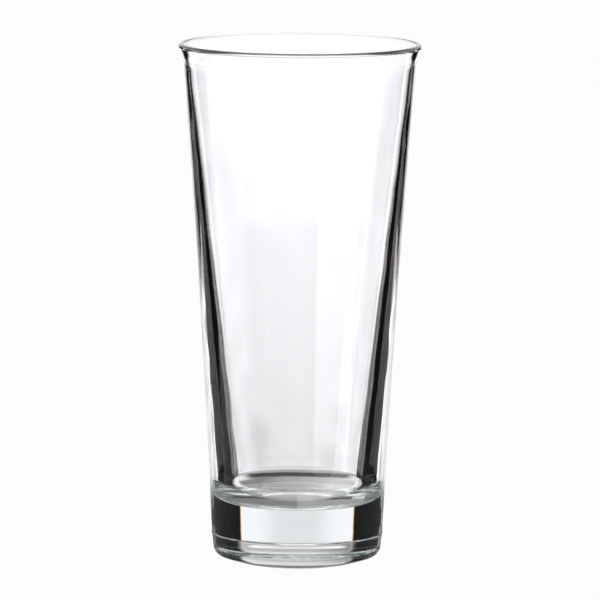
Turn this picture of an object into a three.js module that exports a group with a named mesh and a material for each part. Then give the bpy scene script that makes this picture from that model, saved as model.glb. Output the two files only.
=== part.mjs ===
// A pint glass: one pressed piece of clear soda-lime glass, tall and tapered, with a thick solid base.
//
// The frame is in millimetres, +Z up. The origin is the centre of the ring that the glass stands on.
// The whole solid is one closed outline turned about the Z axis. The outline is drawn as (radius, height)
// from the middle of the underside, round the foot, up the outside, over the lip, down the inside and
// across the floor of the bowl, so the cavity is open at the top and nothing is sealed in.

import * as THREE from 'three';

// Overall size
const HEIGHT = 183;
const LIP_RADIUS = 42.7;

// Outer wall: radius = WALL_FOOT_RADIUS + WALL_TAPER * height + WALL_FLARE * height squared
const WALL_FOOT_RADIUS = 29.55;
const WALL_TAPER = 0.0465;
const WALL_FLARE = 0.0000965;

// Inner wall: the same form, with more taper than the outside, so the wall thickens towards the base
const BOWL_FOOT_RADIUS = 20.3;
const BOWL_TAPER = 0.0966;
const BOWL_FLARE = 0.0000487;

// Lip: a short outward flare, straight above a soft bend at its foot, that ends in a rounded crest
const LIP_THICKNESS = 2.3;
const LIP_SLOPE = 0.38;
const LIP_FOOT_HEIGHT = 177.6;
const LIP_BLEND = 2.2;

// Foot: below the mould's joint the side draws in a little more, down to the rounded heel
const JOINT_HEIGHT = 9.8;
const FOOT_TAPER = 0.12;
const HEEL_RADIUS = 3.6;

// Underside: a shallow recess, a flat ring to stand on, a gentle slope out to the heel
const RECESS_DEPTH = 1.2;
const RECESS_FLAT_RADIUS = 13.5;
const STAND_RING_INNER = 17.2;
const STAND_RING_OUTER = 20.6;
const UNDERSIDE_SLOPE = 0.3;

// Floor of the bowl: a flat disc with a wide round corner up to the wall
const FLOOR_HEIGHT = 20.8;
const FLOOR_CORNER_RADIUS = 9.5;

// How finely the round shapes are divided
const TURN_SEGMENTS = 72;
const WALL_STEPS = 8;
const CORNER_STEPS = 6;
const CREST_STEPS = 3;
const BEND_STEPS = 3;

const GLASS_COLOUR = 0xeaf2ee;

// Radius of the outer wall at a height above the foot.
function outerRadius(z) {
  return WALL_FOOT_RADIUS + WALL_TAPER * z + WALL_FLARE * z * z;
}

// Radius of the bowl at a height above the foot.
function bowlRadius(z) {
  return BOWL_FOOT_RADIUS + BOWL_TAPER * z + BOWL_FLARE * z * z;
}

// Points along a circular arc, both ends included. Angles are in radians from the outward direction.
function arc(centre, radius, start, end, steps) {
  const points = [];
  for (let i = 0; i <= steps; i += 1) {
    const angle = THREE.MathUtils.lerp(start, end, i / steps);
    points.push(new THREE.Vector2(
      centre.x + radius * Math.cos(angle),
      centre.y + radius * Math.sin(angle),
    ));
  }
  return points;
}

// Points along a wall whose radius is a function of height, both ends included.
function wall(radiusAt, low, high, steps) {
  const points = [];
  for (let i = 0; i <= steps; i += 1) {
    const z = THREE.MathUtils.lerp(low, high, i / steps);
    points.push(new THREE.Vector2(radiusAt(z), z));
  }
  return points;
}

// The recess under the base: flat in the middle, curving down to the ring that the glass stands on.
function recess() {
  const curve = new THREE.CubicBezierCurve(
    new THREE.Vector2(RECESS_FLAT_RADIUS, RECESS_DEPTH),
    new THREE.Vector2((RECESS_FLAT_RADIUS + STAND_RING_INNER) / 2, RECESS_DEPTH),
    new THREE.Vector2((RECESS_FLAT_RADIUS + STAND_RING_INNER) / 2, 0),
    new THREE.Vector2(STAND_RING_INNER, 0),
  );
  return [new THREE.Vector2(0, RECESS_DEPTH), ...curve.getPoints(CORNER_STEPS)];
}

// The foot: from the outer edge of the stand ring, up the gentle slope, round the heel and up the
// foot's side to the mould's joint.
function foot() {
  const slopeAngle = Math.atan(UNDERSIDE_SLOPE);
  const sideAngle = Math.atan(FOOT_TAPER);
  const joint = new THREE.Vector2(outerRadius(JOINT_HEIGHT), JOINT_HEIGHT);
  // The heel's centre is HEEL_RADIUS from two lines: radius = side + FOOT_TAPER * height, and
  // height = low + UNDERSIDE_SLOPE * radius.
  const side = joint.x - FOOT_TAPER * JOINT_HEIGHT - HEEL_RADIUS / Math.cos(sideAngle);
  const low = HEEL_RADIUS / Math.cos(slopeAngle) - UNDERSIDE_SLOPE * STAND_RING_OUTER;
  const centre = new THREE.Vector2();
  centre.x = (side + FOOT_TAPER * low) / (1 - FOOT_TAPER * UNDERSIDE_SLOPE);
  centre.y = low + UNDERSIDE_SLOPE * centre.x;
  return [
    new THREE.Vector2(STAND_RING_OUTER, 0),
    ...arc(centre, HEEL_RADIUS, slopeAngle - Math.PI / 2, -sideAngle, CORNER_STEPS),
    joint,
  ];
}

// One side of the lip's flare, from the wall up to an end of the crest: a soft bend, then straight.
function flare(radiusAt, crestEnd) {
  const low = LIP_FOOT_HEIGHT - LIP_BLEND;
  const footRadius = crestEnd.x - LIP_SLOPE * (crestEnd.y - LIP_FOOT_HEIGHT);
  const bend = new THREE.QuadraticBezierCurve(
    new THREE.Vector2(radiusAt(low), low),
    new THREE.Vector2(footRadius, LIP_FOOT_HEIGHT),
    new THREE.Vector2(footRadius + LIP_SLOPE * LIP_BLEND, LIP_FOOT_HEIGHT + LIP_BLEND),
  );
  return [...bend.getPoints(BEND_STEPS), crestEnd];
}

// The lip: the outside leans out, the crest is a half round, and the inside leans in to the bowl.
function lip() {
  const crestRadius = LIP_THICKNESS / 2;
  const crest = new THREE.Vector2(LIP_RADIUS - crestRadius, HEIGHT - crestRadius);
  const lean = Math.atan(LIP_SLOPE);
  // Drawn in three parts, so that the widest and the highest point are both exact
  const over = [
    ...arc(crest, crestRadius, -lean, 0, 1),
    ...arc(crest, crestRadius, 0, Math.PI / 2, CREST_STEPS).slice(1),
    ...arc(crest, crestRadius, Math.PI / 2, Math.PI - lean, CREST_STEPS).slice(1),
  ];
  const outside = flare(outerRadius, over[0]);
  const inside = flare(bowlRadius, over[over.length - 1]).reverse();
  return [...outside, ...over.slice(1), ...inside.slice(1)];
}

// The floor of the bowl: the round corner below the inner wall, then the flat disc to the middle.
function bowlFloor() {
  const wallAngle = Math.atan(BOWL_TAPER);
  const centre = new THREE.Vector2();
  centre.y = FLOOR_HEIGHT + FLOOR_CORNER_RADIUS;
  centre.x = bowlRadius(centre.y) - FLOOR_CORNER_RADIUS / Math.cos(wallAngle);
  return [
    ...arc(centre, FLOOR_CORNER_RADIUS, -wallAngle, -Math.PI / 2, CORNER_STEPS),
    new THREE.Vector2(0, FLOOR_HEIGHT),
  ];
}

// The whole outline, from the middle of the underside to the middle of the bowl's floor.
function outline() {
  const rim = lip();
  const floor = bowlFloor();
  const outside = wall(outerRadius, JOINT_HEIGHT, rim[0].y, WALL_STEPS).slice(1, -1);
  const inside = wall(bowlRadius, rim[rim.length - 1].y, floor[0].y, WALL_STEPS).slice(1, -1);
  return [...recess(), ...foot(), ...outside, ...rim, ...inside, ...floor];
}

// The glass itself: the outline turned about the Z axis.
function glassBody() {
  const geometry = new THREE.LatheGeometry(outline(), TURN_SEGMENTS);
  geometry.rotateX(Math.PI / 2);
  const material = new THREE.MeshStandardMaterial({
    color: GLASS_COLOUR,
    roughness: 0.03,
    metalness: 0,
    transparent: true,
    opacity: 0.35,
  });
  const mesh = new THREE.Mesh(geometry, material);
  mesh.name = 'glass_body';
  return mesh;
}

const pintGlass = new THREE.Group();
pintGlass.add(glassBody());

export default pintGlass;
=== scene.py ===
"""A pint glass in clear pressed soda-lime glass, on a plain pale floor.

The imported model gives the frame. One fine mesh of the whole glass stands for its only node: the same
outline, turned with many more sides, with the small marks that pressing leaves in the surface.
"""

import math
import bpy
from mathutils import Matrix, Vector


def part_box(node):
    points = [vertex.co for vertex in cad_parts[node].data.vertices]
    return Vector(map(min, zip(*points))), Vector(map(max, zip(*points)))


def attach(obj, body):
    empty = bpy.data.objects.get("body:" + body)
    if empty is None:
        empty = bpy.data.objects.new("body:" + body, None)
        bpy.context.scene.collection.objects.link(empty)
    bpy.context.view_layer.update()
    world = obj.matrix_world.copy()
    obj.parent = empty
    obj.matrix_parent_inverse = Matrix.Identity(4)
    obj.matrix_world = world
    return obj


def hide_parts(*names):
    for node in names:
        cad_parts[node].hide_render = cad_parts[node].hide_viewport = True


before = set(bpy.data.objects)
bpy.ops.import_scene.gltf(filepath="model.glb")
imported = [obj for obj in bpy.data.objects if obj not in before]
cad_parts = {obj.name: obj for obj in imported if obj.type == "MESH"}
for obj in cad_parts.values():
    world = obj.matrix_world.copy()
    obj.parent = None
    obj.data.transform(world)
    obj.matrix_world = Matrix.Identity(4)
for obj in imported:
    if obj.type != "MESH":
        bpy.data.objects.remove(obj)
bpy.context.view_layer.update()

from types import SimpleNamespace

import bpy
import numpy as np

MM = 0.001

# ---------------------------------------------------------------------------------------------------
# Sizes, in millimetres. The outline is the CAD part's, drawn as (radius, height).
# ---------------------------------------------------------------------------------------------------

_, BODY_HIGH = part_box("glass_body")
HEIGHT = BODY_HIGH.z / MM
LIP_RADIUS = BODY_HIGH.x / MM

WALL_FOOT_RADIUS = 29.55
WALL_TAPER = 0.0465
WALL_FLARE = 0.0000965

BOWL_FOOT_RADIUS = 20.3
BOWL_TAPER = 0.0966
BOWL_FLARE = 0.0000487

LIP_THICKNESS = 2.3
LIP_SLOPE = 0.38
LIP_FOOT_HEIGHT = 177.6
LIP_BLEND = 2.2

# The mould's bottom plate meets its body here, and the foot draws in below
JOINT_HEIGHT = 9.8
FOOT_TAPER = 0.12
# The mesh's rings are closer together this far above and below it
FINE_BESIDE_JOINT = 0.7

RECESS_DEPTH = 1.2
RECESS_FLAT_RADIUS = 13.5
STAND_RING_INNER = 17.2
STAND_RING_OUTER = 20.6
UNDERSIDE_SLOPE = 0.3
HEEL_RADIUS = 3.6

FLOOR_HEIGHT = 20.8
FLOOR_CORNER_RADIUS = 9.5

RANDOM = np.random.default_rng(11)

# The marks that pressing leaves: how deep or high, how wide and where
WAVE_DEPTH = 0.022
MOULD_WAVE_SHARE = 0.4
SEAM_WIDTH = 0.26
SEAM_PROUD = 0.2
SEAM_UNEVENNESS = 0.3
# Each ring's radius and height
FLOOR_RINGS = ((20.3, 0.07), (18.6, 0.07), (16.4, 0.05), (13.4, 0.1))
FLOOR_RING_WIDTH = 0.28
PIP_RADIUS = 1.2
PIP_EDGE = 0.5
PIP_HEIGHT = 0.28
STIPPLE_HEIGHT = 0.05
STIPPLE_OUTER = 27.5
STIPPLE_EDGE = 1.2
STIPPLE_TOP = 2.2
DOT_COUNT = 14
DOT_RING_RADIUS = 5.2
DOT_RADIUS = 0.5
DOT_HEIGHT = 0.25

TURN_SEGMENTS = 432


# ---------------------------------------------------------------------------------------------------
# The outline
# ---------------------------------------------------------------------------------------------------

def ease(t):
    """A smooth step from 0 to 1 as t goes from 0 to 1."""
    t = np.clip(t, 0, 1)
    return t * t * (3 - 2 * t)


def outer_radius(z):
    """Radius of the outer wall at height z."""
    return WALL_FOOT_RADIUS + WALL_TAPER * z + WALL_FLARE * z * z


def bowl_radius(z):
    """Radius of the bowl at height z."""
    return BOWL_FOOT_RADIUS + BOWL_TAPER * z + BOWL_FLARE * z * z


def line(start, end, steps):
    """Points from start to end, both included."""
    t = np.linspace(0, 1, steps + 1)[:, None]
    return np.array(start) * (1 - t) + np.array(end) * t


def arc(centre, radius, start, end, steps):
    """Points along a circular arc, both ends included."""
    angles = np.linspace(start, end, steps + 1)
    return np.array(centre) + radius * np.stack([np.cos(angles), np.sin(angles)], axis=1)


def bezier(a, b, c, d, steps):
    """Points along a cubic Bezier curve, both ends included."""
    t = np.linspace(0, 1, steps + 1)[:, None]
    a, b, c, d = (np.array(p) for p in (a, b, c, d))
    return a * (1 - t) ** 3 + 3 * b * (1 - t) ** 2 * t + 3 * c * (1 - t) * t ** 2 + d * t ** 3


def wall(radius_at, low, high, steps):
    """Points along a wall whose radius is a function of height."""
    z = np.linspace(low, high, steps + 1)
    return np.stack([radius_at(z), z], axis=1)


def recess():
    """The shallow recess under the base."""
    middle = (RECESS_FLAT_RADIUS + STAND_RING_INNER) / 2
    flat = line((0, RECESS_DEPTH), (RECESS_FLAT_RADIUS, RECESS_DEPTH), 60)
    curve = bezier((RECESS_FLAT_RADIUS, RECESS_DEPTH), (middle, RECESS_DEPTH),
                   (middle, 0), (STAND_RING_INNER, 0), 16)
    return [flat, curve]


def heel():
    """The stand ring, the gentle slope beyond it and the rounded heel."""
    slope_angle = math.atan(UNDERSIDE_SLOPE)
    foot_angle = math.atan(FOOT_TAPER)
    # The arc's centre is HEEL_RADIUS from both the underside's slope and the foot's side
    side = outer_radius(JOINT_HEIGHT) - FOOT_TAPER * JOINT_HEIGHT
    side -= HEEL_RADIUS / math.cos(foot_angle)
    low = HEEL_RADIUS / math.cos(slope_angle) - UNDERSIDE_SLOPE * STAND_RING_OUTER
    x = (side + FOOT_TAPER * low) / (1 - FOOT_TAPER * UNDERSIDE_SLOPE)
    z = UNDERSIDE_SLOPE * x + low
    curve = arc((x, z), HEEL_RADIUS, slope_angle - math.pi / 2, -foot_angle, 24)
    joint = np.array([outer_radius(JOINT_HEIGHT), JOINT_HEIGHT])
    near_joint = joint - FINE_BESIDE_JOINT * np.array([FOOT_TAPER, 1])
    foot = [line(curve[-1], near_joint, 12), line(near_joint, joint, 8)]
    ring = line((STAND_RING_INNER, 0), (STAND_RING_OUTER, 0), 8)
    slope = line((STAND_RING_OUTER, 0), curve[0], 30)
    return [ring, slope, curve, *foot]


def flare(radius_at, crest_end):
    """From the wall to one end of the crest: a short blend at the lip's foot, then straight."""
    foot = np.array([crest_end[0] - LIP_SLOPE * (crest_end[1] - LIP_FOOT_HEIGHT), LIP_FOOT_HEIGHT])
    low = LIP_FOOT_HEIGHT - LIP_BLEND
    start = np.array([radius_at(low), low])
    start_slope = (radius_at(low) - radius_at(low - 0.1)) / 0.1
    end = foot + LIP_BLEND * np.array([LIP_SLOPE, 1])
    reach = LIP_BLEND * 0.8
    blend = bezier(start, start + reach * np.array([start_slope, 1]),
                   end - reach * np.array([LIP_SLOPE, 1]), end, 16)
    return [blend, line(end, crest_end, 10)]


def lip():
    """The lip: out, over the round crest, and in again to the bowl."""
    crest_radius = LIP_THICKNESS / 2
    crest = (LIP_RADIUS - crest_radius, HEIGHT - crest_radius)
    lean = math.atan(LIP_SLOPE)
    over = arc(crest, crest_radius, -lean, math.pi - lean, 40)
    inside = [run[::-1] for run in flare(bowl_radius, over[-1])[::-1]]
    return [*flare(outer_radius, over[0]), over, *inside]


def bowl_floor():
    """The round corner and the flat floor of the bowl."""
    wall_angle = math.atan(BOWL_TAPER)
    z = FLOOR_HEIGHT + FLOOR_CORNER_RADIUS
    x = bowl_radius(z) - FLOOR_CORNER_RADIUS / math.cos(wall_angle)
    corner = arc((x, z), FLOOR_CORNER_RADIUS, -wall_angle, -math.pi / 2, 100)
    flat = line(corner[-1], (0, FLOOR_HEIGHT), 40)
    return [corner, flat]


def outline():
    """The whole outline, from the middle of the underside to the middle of the bowl's floor."""
    foot = heel()
    rim = lip()
    floor = bowl_floor()
    above_joint = JOINT_HEIGHT + FINE_BESIDE_JOINT
    outside = [wall(outer_radius, JOINT_HEIGHT, above_joint, 8),
               wall(outer_radius, above_joint, rim[0][0][1], 80)]
    inside = wall(bowl_radius, rim[-1][-1][1], floor[0][0][1], 80)
    runs = [*recess(), *foot, *outside, *rim, inside, *floor]
    points = [runs[0][:1]] + [run[1:] for run in runs]
    return np.concatenate(points)


# ---------------------------------------------------------------------------------------------------
# The mesh
# ---------------------------------------------------------------------------------------------------

def waves(angle, along, lobes, lengths, count):
    """Smooth seeded noise about 0, between -1 and 1 or so, which closes round the glass."""
    total = np.zeros(np.broadcast(angle, along).shape)
    for _ in range(count):
        turns = RANDOM.integers(*lobes)
        pitch = RANDOM.uniform(*lengths)
        phase, lean = RANDOM.uniform(0, 2 * math.pi, 2)
        total += np.cos(turns * angle + phase) * np.cos(2 * math.pi * along / pitch + lean)
    return total / math.sqrt(count)


def within(value, low, high, soft):
    """1 between low and high, fading to 0 over soft on both sides."""
    return ease((value - low) / soft) * ease((high - value) / soft)


def pressed_marks(r, z, angle, in_bowl):
    """How far pressing moves each point of the surface, as (outwards, up)."""
    out = np.zeros(r.shape)
    up = np.zeros(r.shape)
    # The plunger's wall is a little wavy, and the mould's wall less so
    body = within(z, FLOOR_HEIGHT + 5, HEIGHT - 1, 12)
    out += in_bowl * body * WAVE_DEPTH * waves(angle, z, (1, 11), (16, 70), 18)
    out += (1 - in_bowl) * body * WAVE_DEPTH * MOULD_WAVE_SHARE * waves(angle, z, (1, 7), (30, 90), 12)
    # The mould's two parts meet a little unevenly, with a fine seam that fades out round the back
    seam = np.exp(-((z - JOINT_HEIGHT) / SEAM_WIDTH) ** 2)
    uneven = 1 + SEAM_UNEVENNESS * waves(angle, z, (5, 60), (900, 999), 12)
    out += (1 - in_bowl) * seam * SEAM_PROUD * ease(0.6 - 0.5 * np.sin(angle)) * uneven
    # Turning marks round the corner of the bowl and the edge of the flat of its floor
    low_in_bowl = in_bowl * (z < FLOOR_HEIGHT + FLOOR_CORNER_RADIUS)
    for radius, height in FLOOR_RINGS:
        ring = low_in_bowl * np.exp(-((r - radius) / FLOOR_RING_WIDTH) ** 2)
        up += height * ring
    # The plunger's centre mark
    up += in_bowl * (z < FLOOR_HEIGHT + 1) * PIP_HEIGHT * ease((PIP_RADIUS - r) / PIP_EDGE)
    # A stippled bearing surface
    stipple = waves(angle, r, (70, 170), (0.7, 1.6), 20)
    foot = within(r, STAND_RING_INNER, STIPPLE_OUTER, STIPPLE_EDGE) * (z < STIPPLE_TOP)
    up += (1 - in_bowl) * foot * STIPPLE_HEIGHT * np.clip(0.5 + stipple, 0, 1.6)
    # The mould's mark: a plain ring of dots under the base
    spacing = 2 * math.pi / DOT_COUNT
    across = DOT_RING_RADIUS * (np.mod(angle, spacing) - spacing / 2)
    dot = ease(1.3 - np.hypot(across, r - DOT_RING_RADIUS) / DOT_RADIUS)
    up -= (1 - in_bowl) * (r < RECESS_FLAT_RADIUS) * DOT_HEIGHT * dot
    return out, up


def turned_mesh(name, points, segments):
    """A closed mesh of the outline turned about Z. The outline starts and ends on the axis."""
    rings = points[1:-1]
    angles = np.linspace(0, 2 * math.pi, segments, endpoint=False)
    r = np.repeat(rings[:, 0, None], segments, axis=1)
    z = np.repeat(rings[:, 1, None], segments, axis=1)
    crest = int(np.argmax(rings[:, 1]))
    in_bowl = (np.arange(len(rings)) > crest)[:, None] * np.ones(segments)
    out, up = pressed_marks(r, z, angles, in_bowl)
    r = r + out
    z = z + up
    x = r * np.cos(angles)
    y = r * np.sin(angles)
    co = np.stack([x, y, z], axis=2).reshape(-1, 3)
    ends = np.array([[0, 0, points[0][1]], [0, 0, points[-1][1]]])
    co = np.concatenate([co, ends]) * MM
    first, last = len(co) - 2, len(co) - 1
    faces = []
    top = (len(rings) - 1) * segments
    for i in range(segments):
        j = (i + 1) % segments
        faces.append((first, j, i))
        faces.append((last, top + i, top + j))
        for ring in range(len(rings) - 1):
            a = ring * segments
            faces.append((a + i, a + j, a + segments + j, a + segments + i))
    mesh = bpy.data.meshes.new(name)
    mesh.from_pydata(co.tolist(), [], faces)
    mesh.polygons.foreach_set("use_smooth", [True] * len(mesh.polygons))
    mesh.update()
    obj = bpy.data.objects.new(name, mesh)
    bpy.context.scene.collection.objects.link(obj)
    return obj


# ---------------------------------------------------------------------------------------------------
# Materials
# ---------------------------------------------------------------------------------------------------

def feed(links, value, socket):
    """Gives an input its value, which is a number or another node's output."""
    if isinstance(value, bpy.types.NodeSocket):
        links.new(value, socket)
    else:
        socket.default_value = value


def maths(nodes, links):
    """Arithmetic on numbers and sockets, written as nodes: the functions m, step and blend."""

    def m(operation, *values):
        """A Math node's output."""
        node = nodes.new("ShaderNodeMath")
        node.operation = operation
        for socket, value in zip(node.inputs, values):
            feed(links, value, socket)
        return node.outputs[0]

    def step(value, low, high):
        """0 below low and 1 above high, with a smooth step between."""
        node = nodes.new("ShaderNodeMapRange")
        node.interpolation_type = "SMOOTHSTEP"
        for name, bound in (("Value", value), ("From Min", low), ("From Max", high)):
            feed(links, bound, node.inputs[name])
        return node.outputs["Result"]

    def blend(low_value, high_value, factor):
        """low_value where factor is 0, high_value where it is 1."""
        return m("ADD", low_value, m("MULTIPLY", factor, m("SUBTRACT", high_value, low_value)))

    return m, step, blend


def mix_colours(nodes, links, low_colour, high_colour, factor, blend_type="MIX"):
    """low_colour where factor is 0, high_colour where it is 1; each is a colour or a socket."""
    node = nodes.new("ShaderNodeMix")
    node.data_type = "RGBA"
    node.blend_type = blend_type
    feed(links, factor, node.inputs["Factor"])
    feed(links, low_colour, node.inputs["A"])
    feed(links, high_colour, node.inputs["B"])
    return node.outputs["Result"]


def noise(nodes, links, vector, scale, detail):
    """Fractal noise at a scale, over a vector."""
    node = nodes.new("ShaderNodeTexNoise")
    node.inputs["Scale"].default_value = scale
    node.inputs["Detail"].default_value = detail
    links.new(vector, node.inputs["Vector"])
    return node.outputs[0]


GLASS_IOR = 1.52
GLASS_COLOUR = (0.835, 0.853, 0.845, 1)
GLASS_ABSORPTION = 30.0
# How much each mark adds to the roughness
HAZE_ROUGHNESS = 0.02
SPECK_ROUGHNESS = 0.6
STREAK_ROUGHNESS = 0.07
FROST_ROUGHNESS = 0.2
# Streaks are long round the glass and short in height
STREAK_SCALE = (25, 25, 1400)
RIPPLE_STRENGTH = 0.1
RIPPLE_DEPTH = 0.00003


def clear_glass():
    """Clear soda-lime glass, grey-green where it is thick, with small marks in its roughness."""
    mat = bpy.data.materials.new("clear_glass")
    mat.use_nodes = True
    nodes, links = mat.node_tree.nodes, mat.node_tree.links
    m, step, _ = maths(nodes, links)
    shader = nodes["Principled BSDF"]
    shader.inputs["Base Color"].default_value = (1, 1, 1, 1)
    shader.inputs["IOR"].default_value = GLASS_IOR
    shader.inputs["Transmission Weight"].default_value = 1.0
    place = nodes.new("ShaderNodeTexCoord").outputs["Object"]
    split = nodes.new("ShaderNodeSeparateXYZ")
    links.new(place, split.inputs[0])
    x, y, z = split.outputs
    far = m("SQRT", m("ADD", m("MULTIPLY", x, x), m("MULTIPLY", y, y)))
    # A patchy haze
    haze = noise(nodes, links, place, 60.0, 6.0)
    dull = m("MULTIPLY", step(haze, 0.45, 0.75), HAZE_ROUGHNESS)
    # A few specks, each in a cell of its own
    cells = nodes.new("ShaderNodeTexVoronoi")
    cells.inputs["Scale"].default_value = 160.0
    links.new(place, cells.inputs["Vector"])
    chance = nodes.new("ShaderNodeSeparateColor")
    links.new(cells.outputs["Color"], chance.inputs[0])
    size = m("MULTIPLY", step(chance.outputs[0], 0.9, 1.0), 0.05)
    speck = m("LESS_THAN", cells.outputs["Distance"], size)
    # Fine level streaks that the mould leaves round the solid foot
    stretch = nodes.new("ShaderNodeMapping")
    stretch.inputs["Scale"].default_value = STREAK_SCALE
    links.new(place, stretch.inputs["Vector"])
    streak = noise(nodes, links, stretch.outputs[0], 1.0, 3.0)
    streaks = m("MULTIPLY", step(streak, 0.5, 0.72), STREAK_ROUGHNESS)
    streaks = m("MULTIPLY", streaks, step(z, 0.026, 0.02))
    # The stippled ring that the glass stands on is frosted
    on_ring = m("MULTIPLY", step(z, 0.0026, 0.0018), step(far, 0.0165, 0.0172))
    frost = m("MULTIPLY", on_ring, m("ADD", FROST_ROUGHNESS, dull))
    rough = m("ADD", dull, m("MULTIPLY", speck, SPECK_ROUGHNESS))
    rough = m("MAXIMUM", m("ADD", rough, streaks), frost)
    links.new(rough, shader.inputs["Roughness"])
    # A slight ripple
    bump = nodes.new("ShaderNodeBump")
    bump.inputs["Strength"].default_value = RIPPLE_STRENGTH
    bump.inputs["Distance"].default_value = RIPPLE_DEPTH
    links.new(noise(nodes, links, place, 220.0, 2.0), bump.inputs["Height"])
    links.new(bump.outputs[0], shader.inputs["Normal"])
    absorption = nodes.new("ShaderNodeVolumeAbsorption")
    absorption.inputs["Color"].default_value = GLASS_COLOUR
    absorption.inputs["Density"].default_value = GLASS_ABSORPTION
    links.new(absorption.outputs["Volume"], nodes["Material Output"].inputs["Volume"])
    return mat


# ---------------------------------------------------------------------------------------------------
# The stage
# ---------------------------------------------------------------------------------------------------

WHITE = (1, 1, 1, 1)
PANEL_COLOUR = (0.995, 0.985, 1.02, 1)
FLAG_COLOUR = (1.0, 0.91, 1.06, 1)
ROOM_COLOUR = (1.0, 0.99, 1.0, 1)
CARD_COLOUR = (1, 0.99, 0.97, 1)
# What the camera sees of the floor and the background
FLOOR_WHITE = 0.98
# How bright the flags, the room behind the camera and the low card are
FLAG_LEVEL = 0.006
ROOM_LEVEL = 0.25
CARD_LEVEL = 0.66
# Half widths of the panel behind the glass, in degrees: as the glass reflects it, from the top of the
# panel down, as its rim reflects it, and as it shows through the wall, the bowl and the solid base
PANEL_REFLECTED_TOP = 21.0
PANEL_REFLECTED = 38.0
PANEL_REFLECTED_LIP = 16.0
PANEL_RIM = 62.0
PANEL_WALL_TOP = 9.0
PANEL_WALL = 17.0
PANEL_BOWL = 22.8
PANEL_BASE = 29.8
# Half width of the side panel's upper part, and how soft all the panels' edges are
PANEL_SIDE = 14.0
PANEL_SOFTNESS = 1.4
# How far thick glass spreads the edges of the three colours, in degrees
SPREAD = 0.18
# Levels on the floor, seen through the glass
SHADE_LEFT = 0.25
SHADE_RIGHT_MORE = 0.17
SHADE_FAR_RIGHT_MORE = 0.35
OPEN_FLOOR = 1.1
REFLECTED_FLOOR = 0.05
# Rings of light that the foot gathers on the floor: radius and half width in metres, and level
GATHERED_RINGS = ((0.055, 0.0022, 0.35), (0.0465, 0.0018, 0.5))
# Where the floor near the glass ends, for light through the glass and for reflections: it is gone at the
# first radius and whole at the second, in metres
NEAR_END = (0.105, 0.1)
REFLECTED_END = (0.2, 0.13)
# The cards' radius and heights, in metres
CARD_RADIUS = 0.25
LOW_CARD_HEIGHTS = (0.002, 0.145)
HIGH_FLAG_HEIGHTS = (0.09, 0.2)


def empty_nodes(owner):
    """The nodes and links of a material or world, with nothing in them yet."""
    owner.use_nodes = True
    owner.node_tree.nodes.clear()
    return owner.node_tree.nodes, owner.node_tree.links


def shine_where(nodes, links, shown, level, colour):
    """The output of a material that shines at a level where shown is 1 and isn't there where it is 0."""
    emission = nodes.new("ShaderNodeEmission")
    emission.inputs["Color"].default_value = colour
    feed(links, level, emission.inputs["Strength"])
    clear = nodes.new("ShaderNodeBsdfTransparent")
    mix = nodes.new("ShaderNodeMixShader")
    links.new(shown, mix.inputs["Fac"])
    links.new(clear.outputs[0], mix.inputs[1])
    links.new(emission.outputs[0], mix.inputs[2])
    output = nodes.new("ShaderNodeOutputMaterial")
    links.new(mix.outputs[0], output.inputs["Surface"])


def ray_facts(nodes, links):
    """Where a ray goes and how it got there, as sockets from which the world is worked out."""
    m, step, _ = maths(nodes, links)
    coord = nodes.new("ShaderNodeTexCoord")
    split = nodes.new("ShaderNodeSeparateXYZ")
    links.new(coord.outputs["Generated"], split.inputs[0])
    x, y, z = split.outputs
    path = nodes.new("ShaderNodeLightPath")
    ray = SimpleNamespace()
    ray.camera = path.outputs["Is Camera Ray"]
    ray.reflected = path.outputs["Is Reflection Ray"]
    ray.crossings = path.outputs["Transmission Depth"]
    ray.turns = path.outputs["Glossy Depth"]
    # In degrees: round to the left from straight behind the glass, up, and down
    ray.azimuth = m("DEGREES", m("ARCTAN2", m("MULTIPLY", x, -1.0), y))
    ray.elevation = m("DEGREES", m("ARCSINE", z))
    ray.below = m("MULTIPLY", ray.elevation, -1.0)
    # From straight behind, and from the nearest of the four main directions
    ray.behind = m("ABSOLUTE", m("WRAP", ray.azimuth, 180.0, -180.0))
    ray.ahead = m("ABSOLUTE", m("WRAP", ray.azimuth, 45.0, -45.0))
    ray.high = step(ray.below, 12.0, 9.0)
    # Whether it crossed the bowl, and whether it was mirrored inside the glass
    ray.through_bowl = m("GREATER_THAN", ray.crossings, 3.0)
    ray.outside_bowl = m("SUBTRACT", 1.0, ray.through_bowl)
    ray.mirrored = m("GREATER_THAN", ray.turns, 0.5)
    ray.unbent = m("SUBTRACT", 1.0, ray.mirrored)
    ray.mirrored_in_wall = m("MULTIPLY", ray.mirrored, ray.outside_bowl)
    # Whether it went round inside the foot many times
    ray.rounds = m("MULTIPLY", step(ray.turns, 5.5, 9.0), ray.outside_bowl)
    return ray


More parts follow.
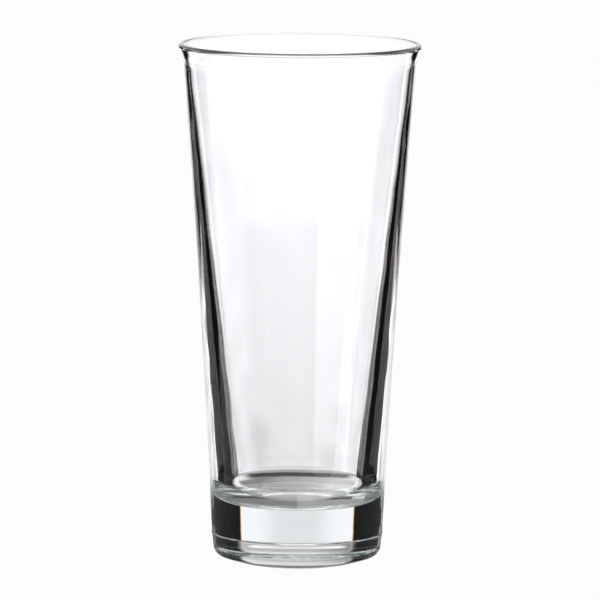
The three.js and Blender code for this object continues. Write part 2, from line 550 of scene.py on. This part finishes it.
def panels(nodes, links, ray):
    """Where the panels are, as a colour, because thick glass spreads the edges of the three colours.

    Returns it with the corner panels and the lit table, which have a brightness of their own.
    """
    m, step, blend = maths(nodes, links)

    def inside(value, bound, soft):
        return step(value, m("ADD", bound, soft), bound)

    def away_from(bearing):
        return m("ABSOLUTE", m("WRAP", m("SUBTRACT", ray.azimuth, bearing), 180.0, -180.0))

    # The panel behind the glass. Flags close to the glass hide more of it from the light inside the wall
    # than from the light that crosses the bowl.
    wall_width = blend(PANEL_WALL_TOP, PANEL_WALL, step(ray.below, 11.8, 14.0))
    width = blend(wall_width, PANEL_BOWL, ray.through_bowl)
    width = blend(width, PANEL_BASE, m("MULTIPLY", ray.high, ray.unbent))
    reflected_width = blend(PANEL_REFLECTED_TOP, PANEL_REFLECTED, step(ray.below, 8.4, 9.2))
    reflected_width = blend(reflected_width, PANEL_REFLECTED_LIP, step(ray.below, 11.4, 12.8))
    reflected_width = blend(reflected_width, PANEL_RIM, step(ray.elevation, 2.0, 8.0))
    width = blend(width, reflected_width, ray.reflected)
    # The panel at the left side
    side = away_from(90.0)
    side_width = blend(PANEL_BOWL, PANEL_SIDE, ray.high)
    side_level = blend(1.0, 0.3, ray.reflected)
    # How far down both reach
    bounced = m("MULTIPLY", ray.mirrored, m("GREATER_THAN", ray.crossings, 2.5))
    upright = m("MAXIMUM", m("SUBTRACT", 1.0, step(ray.below, 20.5, 21.5)), bounced)
    fade = m("SUBTRACT", 1.0, m("MULTIPLY", ray.through_bowl, step(ray.below, 15.3, 21.5)))
    reach = m("MULTIPLY", upright, fade)
    # Low panels at the four corners, and one more at the front right that reaches higher
    corner = m("ABSOLUTE", m("SUBTRACT", m("ABSOLUTE", m("WRAP", ray.azimuth, 90.0, -90.0)), 45.0))
    low_panels = m("MULTIPLY", inside(corner, 22.0, 4.0), m("SUBTRACT", 1.0, upright))
    low_panels = m("MULTIPLY", low_panels, ray.unbent)
    front_right = m("MULTIPLY", inside(away_from(225.0), 22.0, 4.0), step(ray.below, 10.3, 11.0))
    mirrored_last = m("MULTIPLY", ray.mirrored, m("SUBTRACT", 1.0, ray.reflected))
    front_right = m("MULTIPLY", front_right, blend(1.0, 0.15, mirrored_last))
    corners = m("MAXIMUM", low_panels, front_right)
    # The lit table, in the four main directions and all round for light that missed the bowl
    table = m("MULTIPLY", inside(ray.ahead, 12.0, 5.0), step(ray.below, 47.0, 44.0))
    table = m("MAXIMUM", table, ray.outside_bowl)
    table = m("MULTIPLY", m("MULTIPLY", table, step(ray.below, 17.0, 21.0)), ray.unbent)

    spectrum = nodes.new("ShaderNodeCombineColor")
    for spread, socket in zip((SPREAD, 0.0, -SPREAD), spectrum.inputs):
        main = inside(ray.behind, m("ADD", width, spread), PANEL_SOFTNESS)
        beside = inside(side, m("ADD", side_width, spread), PANEL_SOFTNESS)
        upright_panels = m("MULTIPLY", m("MAXIMUM", main, m("MULTIPLY", beside, side_level)), reach)
        links.new(m("MAXIMUM", m("MAXIMUM", upright_panels, table), corners), socket)
    return spectrum.outputs[0], corners, table


def panel_white(nodes, links, ray, corners, table):
    """How bright the panels are: brightest high up, and brighter towards their edges."""
    m, step, blend = maths(nodes, links)
    # Across the bowl
    lower = m("MINIMUM", m("MAXIMUM", m("SUBTRACT", ray.below, 8.0), 0.0), 8.0)
    rise_right = m("MAXIMUM", m("SUBTRACT", 1.88, m("MULTIPLY", lower, 0.12)), 1.0)
    rise_left = m("MAXIMUM", m("SUBTRACT", 2.1, m("MULTIPLY", lower, 0.2)), 1.0)
    rise = blend(rise_right, rise_left, step(ray.azimuth, -2.0, 2.0))
    white = m("SUBTRACT", 1.14, m("MULTIPLY", lower, 0.06))
    white = m("MULTIPLY", white, blend(1.0, rise, step(ray.ahead, 4.0, 19.0)))
    glint = m("MULTIPLY", step(ray.below, 13.0, 13.9), step(ray.below, 15.6, 14.8))
    white = m("MULTIPLY", white, m("ADD", 1.0, m("MULTIPLY", glint, 0.4)))
    white = m("MULTIPLY", white, blend(1.03, 1.16, step(ray.below, 9.5, 8.0)))
    low_middle = m("MULTIPLY", step(ray.below, 11.0, 11.7), step(ray.ahead, 14.0, 6.0))
    white = m("MULTIPLY", white, m("SUBTRACT", 1.0, m("MULTIPLY", low_middle, 0.16)))
    # Through the solid base, at the corners and on the table
    base_white = blend(1.09, 1.32, step(ray.ahead, 6.0, 20.0))
    white = blend(white, base_white, m("MULTIPLY", ray.high, ray.outside_bowl))
    white = blend(blend(white, 1.2, corners), 1.1, table)
    # Mirrored inside the glass
    white = m("MULTIPLY", white, m("ADD", 1.0, m("MULTIPLY", ray.rounds, 0.6)))
    inside_wall = m("MULTIPLY", ray.mirrored_in_wall, step(ray.below, 12.4, 13.2))
    white = m("MULTIPLY", white, m("ADD", 1.0, m("MULTIPLY", inside_wall, 0.25)))
    # Reflected off the glass
    edge_on = blend(0.75, 1.4, step(ray.below, 8.0, 9.0))
    edge_on = blend(edge_on, 1.0, step(ray.behind, 18.0, 8.0))
    edge_on = blend(edge_on, 1.5, step(ray.behind, 60.0, 90.0))
    return m("MULTIPLY", white, blend(1.0, edge_on, ray.reflected))


def openings(nodes, links, ray):
    """Where the flags stop: above, below, and where light that is mirrored in the foot gets out."""
    m, step, blend = maths(nodes, links)
    low = blend(50.0, 60.0, ray.through_bowl)
    lowest = blend(54.0, 68.0, ray.through_bowl)
    opened = m("MAXIMUM", step(ray.elevation, 38.0, 50.0), step(ray.below, low, lowest))
    # Light that has been round inside the foot many times finds a bright place in the end
    low_sides = m("MULTIPLY", step(ray.below, 19.0, 21.0), step(ray.below, 32.0, 28.0))
    low_sides = m("MULTIPLY", step(ray.behind, 38.0, 50.0), low_sides)
    bright = m("MAXIMUM", low_sides, step(ray.elevation, 26.0, 42.0))
    opened = m("MAXIMUM", opened, m("MULTIPLY", ray.rounds, bright))
    # What the underside mirrors once, seen from higher up than in the photograph
    once = m("MULTIPLY", m("LESS_THAN", ray.turns, 1.5), ray.mirrored_in_wall)
    upwards = m("MULTIPLY", step(ray.elevation, 15.0, 20.0), step(ray.behind, 32.0, 40.0))
    return m("MAXIMUM", opened, m("MULTIPLY", once, upwards))


def studio_world():
    """White panels between dark flags: bright-field light, as glass is lit."""
    world = bpy.data.worlds.new("studio")
    bpy.context.scene.world = world
    nodes, links = empty_nodes(world)
    m, step, blend = maths(nodes, links)
    ray = ray_facts(nodes, links)
    shown, corners, table = panels(nodes, links, ray)
    white = panel_white(nodes, links, ray, corners, table)
    glow = mix_colours(nodes, links, shown, WHITE, openings(nodes, links, ray))
    glow = mix_colours(nodes, links, glow, PANEL_COLOUR, 1.0, "MULTIPLY")
    # The camera itself sees a plain background
    background = nodes.new("ShaderNodeBackground")
    links.new(mix_colours(nodes, links, glow, WHITE, ray.camera), background.inputs["Color"])
    links.new(blend(white, FLOOR_WHITE, ray.camera), background.inputs["Strength"])
    # The room beyond the flags: dark and slightly violet beside the glass, grey behind the camera
    around = step(ray.behind, 65.0, 115.0)
    room = m("ADD", FLAG_LEVEL, m("MULTIPLY", ROOM_LEVEL, around))
    dim = nodes.new("ShaderNodeBackground")
    links.new(mix_colours(nodes, links, FLAG_COLOUR, ROOM_COLOUR, around), dim.inputs["Color"])
    links.new(m("MULTIPLY", room, m("SUBTRACT", 1.0, ray.camera)), dim.inputs["Strength"])
    both = nodes.new("ShaderNodeAddShader")
    links.new(background.outputs[0], both.inputs[0])
    links.new(dim.outputs[0], both.inputs[1])
    output = nodes.new("ShaderNodeOutputWorld")
    links.new(both.outputs[0], output.inputs["Surface"])


def pale_floor():
    """A plain pale floor that shines by itself, so the glass casts next to no shadow.

    The camera sees it even all over. The light that comes out of the glass finds it shaded near the foot,
    and further out meets the panels of the world instead.
    """
    size = 60.0
    mesh = bpy.data.meshes.new("floor")
    mesh.from_pydata([(-size, -size, 0), (size, -size, 0), (size, size, 0), (-size, size, 0)],
                     [], [(0, 1, 2, 3)])
    floor = bpy.data.objects.new("floor", mesh)
    bpy.context.scene.collection.objects.link(floor)
    mat = bpy.data.materials.new("pale_floor")
    nodes, links = empty_nodes(mat)
    m, step, blend = maths(nodes, links)
    place = nodes.new("ShaderNodeNewGeometry")
    split = nodes.new("ShaderNodeSeparateXYZ")
    links.new(place.outputs["Position"], split.inputs[0])
    path = nodes.new("ShaderNodeLightPath")
    x, y, _ = split.outputs
    far = m("SQRT", m("ADD", m("MULTIPLY", x, x), m("MULTIPLY", y, y)))
    bearing = m("DEGREES", m("ARCTAN2", m("MULTIPLY", x, -1.0), y))
    turn = m("ABSOLUTE", bearing)
    past_foot = step(far, 0.03, 0.04)
    # The shade behind the glass, brighter towards the right
    near = m("ADD", SHADE_LEFT, m("MULTIPLY", step(bearing, 15.0, -5.0), SHADE_RIGHT_MORE))
    far_right = m("MULTIPLY", step(bearing, -5.0, -26.0), step(far, 0.03, 0.045))
    near = m("ADD", near, m("MULTIPLY", far_right, SHADE_FAR_RIGHT_MORE))
    # It is deepest along its far edge, and to both sides
    edge = m("SUBTRACT", 1.0, m("MULTIPLY", step(far, 0.078, 0.084), 0.9))
    sideways = m("MULTIPLY", step(turn, 38.0, 58.0), step(turn, 110.0, 90.0))
    aside = m("SUBTRACT", 1.0, m("MULTIPLY", m("MULTIPLY", sideways, past_foot), 0.95))
    near = m("MULTIPLY", near, m("MULTIPLY", edge, aside))
    # Elsewhere the floor is as bright as the rest
    through_bowl = m("GREATER_THAN", path.outputs["Transmission Depth"], 3.0)
    from_bowl = m("MULTIPLY", step(far, 0.068, 0.076), step(turn, 20.0, 32.0))
    from_bowl = m("MULTIPLY", through_bowl, from_bowl)
    open_floor = m("MULTIPLY", m("MAXIMUM", step(turn, 32.0, 46.0), from_bowl), past_foot)
    unbent = m("LESS_THAN", path.outputs["Glossy Depth"], 0.5)
    near = blend(near, OPEN_FLOOR, m("MULTIPLY", open_floor, unbent))
    for radius, width, level in GATHERED_RINGS:
        gathered = step(m("ABSOLUTE", m("SUBTRACT", far, radius)), width, 0.0)
        near = m("ADD", near, m("MULTIPLY", gathered, level))
    reflected = path.outputs["Is Reflection Ray"]
    near = blend(near, REFLECTED_FLOOR, reflected)
    camera_ray = path.outputs["Is Camera Ray"]
    close = blend(step(far, *NEAR_END), step(far, *REFLECTED_END), reflected)
    shine_where(nodes, links, m("MAXIMUM", camera_ray, close), blend(near, FLOOR_WHITE, camera_ray), WHITE)
    mesh.materials.append(mat)


def card_ring(name, low, high):
    """A ring-shaped card round the glass, CARD_RADIUS away, with its material still to be finished.

    Returns the node functions m and step, the bearing from straight behind, the height, the light path
    and finish(level, shown), which makes the card shine at a level wherever shown is 1.
    """
    sides = 96
    turns = [2 * math.pi * i / sides for i in range(sides)]
    verts = [(CARD_RADIUS * math.cos(t), CARD_RADIUS * math.sin(t), z) for z in (low, high) for t in turns]
    faces = [(i, (i + 1) % sides, sides + (i + 1) % sides, sides + i) for i in range(sides)]
    mesh = bpy.data.meshes.new(name)
    mesh.from_pydata(verts, [], faces)
    card = bpy.data.objects.new(name, mesh)
    bpy.context.scene.collection.objects.link(card)
    mat = bpy.data.materials.new(name)
    nodes, links = empty_nodes(mat)
    m, step, _ = maths(nodes, links)
    place = nodes.new("ShaderNodeNewGeometry")
    split = nodes.new("ShaderNodeSeparateXYZ")
    links.new(place.outputs["Position"], split.inputs[0])
    x, y, z = split.outputs
    bearing = m("DEGREES", m("ARCTAN2", m("MULTIPLY", x, -1.0), y))

    def finish(level, shown):
        shine_where(nodes, links, shown, level, CARD_COLOUR)
        mesh.materials.append(mat)
        card.visible_camera = False
        card.visible_diffuse = False
        card.visible_shadow = False

    return m, step, bearing, z, nodes.new("ShaderNodeLightPath"), finish


def low_card():
    """A low grey card in four arcs, which only light that goes straight through solid glass meets."""
    m, step, bearing, z, path, finish = card_ring("low_card", *LOW_CARD_HEIGHTS)
    straight = m("MULTIPLY", m("LESS_THAN", path.outputs["Transmission Depth"], 3.0),
                 m("LESS_THAN", path.outputs["Glossy Depth"], 0.5))
    turn = m("WRAP", bearing, 45.0, -45.0)
    shown = m("MULTIPLY", straight, step(m("ABSOLUTE", turn), 30.0, 24.0))
    # Each arc's left end is in shade, and its top is brighter
    shade = m("SUBTRACT", 1.0, m("MULTIPLY", step(turn, 2.0, 30.0), 0.55))
    top = m("ADD", 1.0, m("MULTIPLY", step(z, 0.035, 0.065), 0.55))
    finish(m("MULTIPLY", CARD_LEVEL, m("MULTIPLY", shade, top)), shown)


def high_flags():
    """Two black cards level with the rim, beside the panel, which only reflections off the glass meet."""
    m, step, bearing, z, path, finish = card_ring("high_flags", *HIGH_FLAG_HEIGHTS)
    behind = m("ABSOLUTE", m("WRAP", bearing, 180.0, -180.0))
    beside = m("MULTIPLY", step(behind, 26.0, 31.0), step(behind, 80.0, 70.0))
    shown = m("MULTIPLY", path.outputs["Is Reflection Ray"], beside)
    finish(FLAG_LEVEL, m("MULTIPLY", shown, step(z, 0.09, 0.1)))


# In metres from the glass's axis, and above its rim
CAMERA_DISTANCE = 2.531
CAMERA_ABOVE_RIM = 0.226
# In millimetres
CAMERA_LENS = 434.9
CAMERA_SENSOR = 36
# How far below the rim's centre the camera aims
CAMERA_AIM_BELOW = math.radians(2.0283)
CAMERA_ROLL = math.radians(0.363)
CAMERA_SHIFT_X = 0.0025


def camera():
    """A long lens at the height and distance that give the photograph's ellipses."""
    data = bpy.data.cameras.new("camera")
    data.sensor_width = CAMERA_SENSOR
    data.lens = CAMERA_LENS
    data.clip_end = 200
    cam = bpy.data.objects.new("camera", data)
    bpy.context.scene.collection.objects.link(cam)
    cam.location = (0, -CAMERA_DISTANCE, HEIGHT * MM + CAMERA_ABOVE_RIM)
    pitch = math.atan2(CAMERA_ABOVE_RIM, CAMERA_DISTANCE) + CAMERA_AIM_BELOW
    cam.rotation_mode = "ZYX"
    cam.rotation_euler = (math.pi / 2 - pitch, 0, CAMERA_ROLL)
    data.shift_x = CAMERA_SHIFT_X
    bpy.context.scene.camera = cam


# ---------------------------------------------------------------------------------------------------
# Building the scene
# ---------------------------------------------------------------------------------------------------

camera()
studio_world()
pale_floor()
low_card()
high_flags()

glass = turned_mesh("pint_glass", outline(), TURN_SEGMENTS)
glass.data.materials.append(clear_glass())
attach(glass, "root")
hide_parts("glass_body")

scene = bpy.context.scene
scene.view_settings.view_transform = "Standard"
scene.cycles.max_bounces = 32
scene.cycles.transmission_bounces = 24
scene.cycles.glossy_bounces = 28
